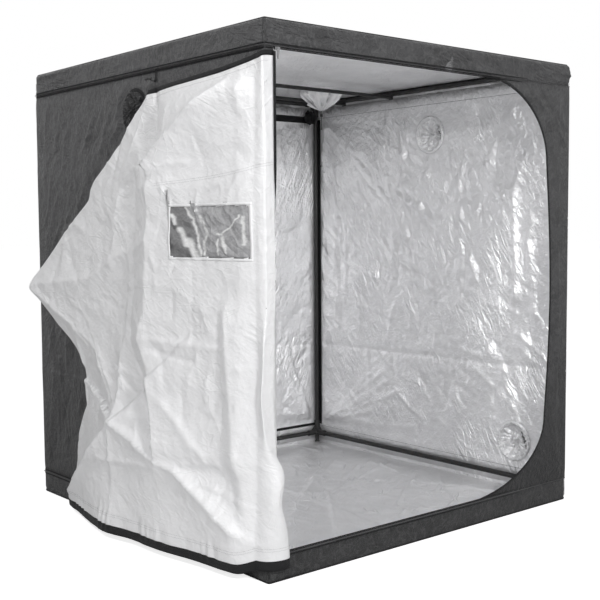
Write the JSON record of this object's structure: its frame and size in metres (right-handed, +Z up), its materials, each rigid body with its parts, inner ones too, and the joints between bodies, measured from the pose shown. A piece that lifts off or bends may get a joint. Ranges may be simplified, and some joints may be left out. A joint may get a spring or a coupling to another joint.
{
  "type": "indoor grow tent",
  "caption": "Square walk-in grow tent: tube frame, black cloth cover with reflective lining, and a zip door folded open along its left wall.",
  "frame": {"origin": "middle of the tent's underside, on the floor", "axes": "+Z up. -Y is the front with the doorway. +X is to the right seen from the front; the open door lies along the left wall, at -X."},
  "size_m": [1.9895, 1.7679, 2.0023],
  "materials": {
    "black_cloth": "woven black cloth with a slight sheen, lined inside with crinkled reflective film",
    "reflective_lining": "crinkled silvery white film",
    "black_coated_steel": "smooth black coating",
    "black_plastic": "moulded, fine matt",
    "clear_vinyl": "soft clear film",
    "zip_nylon": "woven tape with a nylon coil",
    "zinc": "cast, dull nickel",
    "black_webbing": "matt woven webbing"
  },
  "bodies": {
    "tent": {"base_cover": "black_cloth", "corner_connector_bottom_far": "black_plastic", "corner_connector_bottom_left": "black_plastic", "corner_connector_bottom_near": "black_plastic", "corner_connector_bottom_right": "black_plastic", "corner_connector_top_far": "black_plastic", "corner_connector_top_left": "black_plastic", "corner_connector_top_near": "black_plastic", "corner_connector_top_right": "black_plastic", "door_tie_side_strap": "black_webbing", "door_tie_top_strap": "black_webbing", "floor_mat": "reflective_lining", "front_hinge_panel": "black_cloth", "front_jamb": "black_cloth", "port_left_upper_ring": "black_webbing", "port_left_upper_sleeve": "black_cloth", "port_right_lower_ring": "black_webbing", "port_right_lower_sleeve": "black_cloth", "port_right_upper_ring": "black_webbing", "port_right_upper_sleeve": "black_cloth", "port_roof_ring": "black_webbing", "port_roof_sleeve": "black_cloth", "rail_bottom_back": "black_coated_steel", "rail_bottom_front": "black_coated_steel", "rail_bottom_left": "black_coated_steel", "rail_bottom_right": "black_coated_steel", "rail_top_back": "black_coated_steel", "rail_top_front": "black_coated_steel", "rail_top_left": "black_coated_steel", "rail_top_right": "black_coated_steel", "roof_cover": "black_cloth", "roof_sleeve_cord": "black_webbing", "roof_sleeve_cord_knot": "black_webbing", "upright_far_lower": "black_coated_steel", "upright_far_upper": "black_coated_steel", "upright_left_lower": "black_coated_steel", "upright_left_upper": "black_coated_steel", "upright_near_lower": "black_coated_steel", "upright_near_upper": "black_coated_steel", "upright_right_lower": "black_coated_steel", "upright_right_upper": "black_coated_steel", "wall_back": "black_cloth", "wall_left": "black_cloth", "wall_right": "black_cloth", "zip_track": "zip_nylon"},
    "door": {"door_flap": "reflective_lining", "door_window_pane": "clear_vinyl", "window_cover_roll": "black_cloth", "window_cover_tie_far": "black_webbing", "window_cover_tie_near": "black_webbing"},
    "bar_front": {"hanging_bar_front": "black_coated_steel"},
    "bar_rear": {"hanging_bar_rear": "black_coated_steel"},
    "slider_upper": {"zip_slider_upper": "zinc"},
    "slider_lower": {"zip_slider_lower": "zinc"},
    "pull_upper": {"zip_pull_upper": "zinc"},
    "pull_lower": {"zip_pull_lower": "zinc"},
    "toggle_top": {"door_tie_top_toggle": "black_plastic"},
    "toggle_side": {"door_tie_side_toggle": "black_plastic"},
    "cord_lock": {"roof_sleeve_cord_lock": "black_plastic"}
  },
  "joints": [
    {"name": "door_swing", "type": "hinge", "parent": "tent", "child": "door", "pos_m": [-0.8809, -0.8809, 1], "axis": [0, 0, 1], "range_deg": [0, 230]},
    {"name": "bar_front_slide", "type": "slide", "parent": "tent", "child": "bar_front", "axis": [0, 1, 0], "range_m": [-1, 0.045]},
    {"name": "bar_rear_slide", "type": "slide", "parent": "tent", "child": "bar_rear", "axis": [0, 1, 0], "range_m": [-0.045, 0.17]},
    {"name": "slider_upper_slide", "type": "slide", "parent": "tent", "child": "slider_upper", "axis": [1, 0, 0], "range_m": [0, 1.08]},
    {"name": "slider_lower_slide", "type": "slide", "parent": "tent", "child": "slider_lower", "axis": [1, 0, 0], "range_m": [0, 0.98]},
    {"name": "pull_upper_swing", "type": "hinge", "parent": "slider_upper", "child": "pull_upper", "pos_m": [-0.823, -0.8807, 1.8967], "axis": [0, 1, 0], "range_deg": [-80, 80]},
    {"name": "pull_lower_swing", "type": "hinge", "parent": "slider_lower", "child": "pull_lower", "pos_m": [-0.823, -0.8807, 0.1073], "axis": [0, 1, 0], "range_deg": [-80, 80]},
    {"name": "toggle_top_turn", "type": "hinge", "parent": "tent", "child": "toggle_top", "pos_m": [-0.9342, -0.215, 1.8573], "axis": [-0.7507, 0, -0.6606], "range_deg": [-90, 90]},
    {"name": "toggle_side_turn", "type": "hinge", "parent": "tent", "child": "toggle_side", "pos_m": [-0.9356, 0.8048, 0.992], "axis": [-0.6189, -0.7855, 0], "range_deg": [-90, 90]},
    {"name": "cord_lock_slide", "type": "slide", "parent": "tent", "child": "cord_lock", "axis": [0, 0, -1], "range_m": [0, 0.05]}
  ]
}
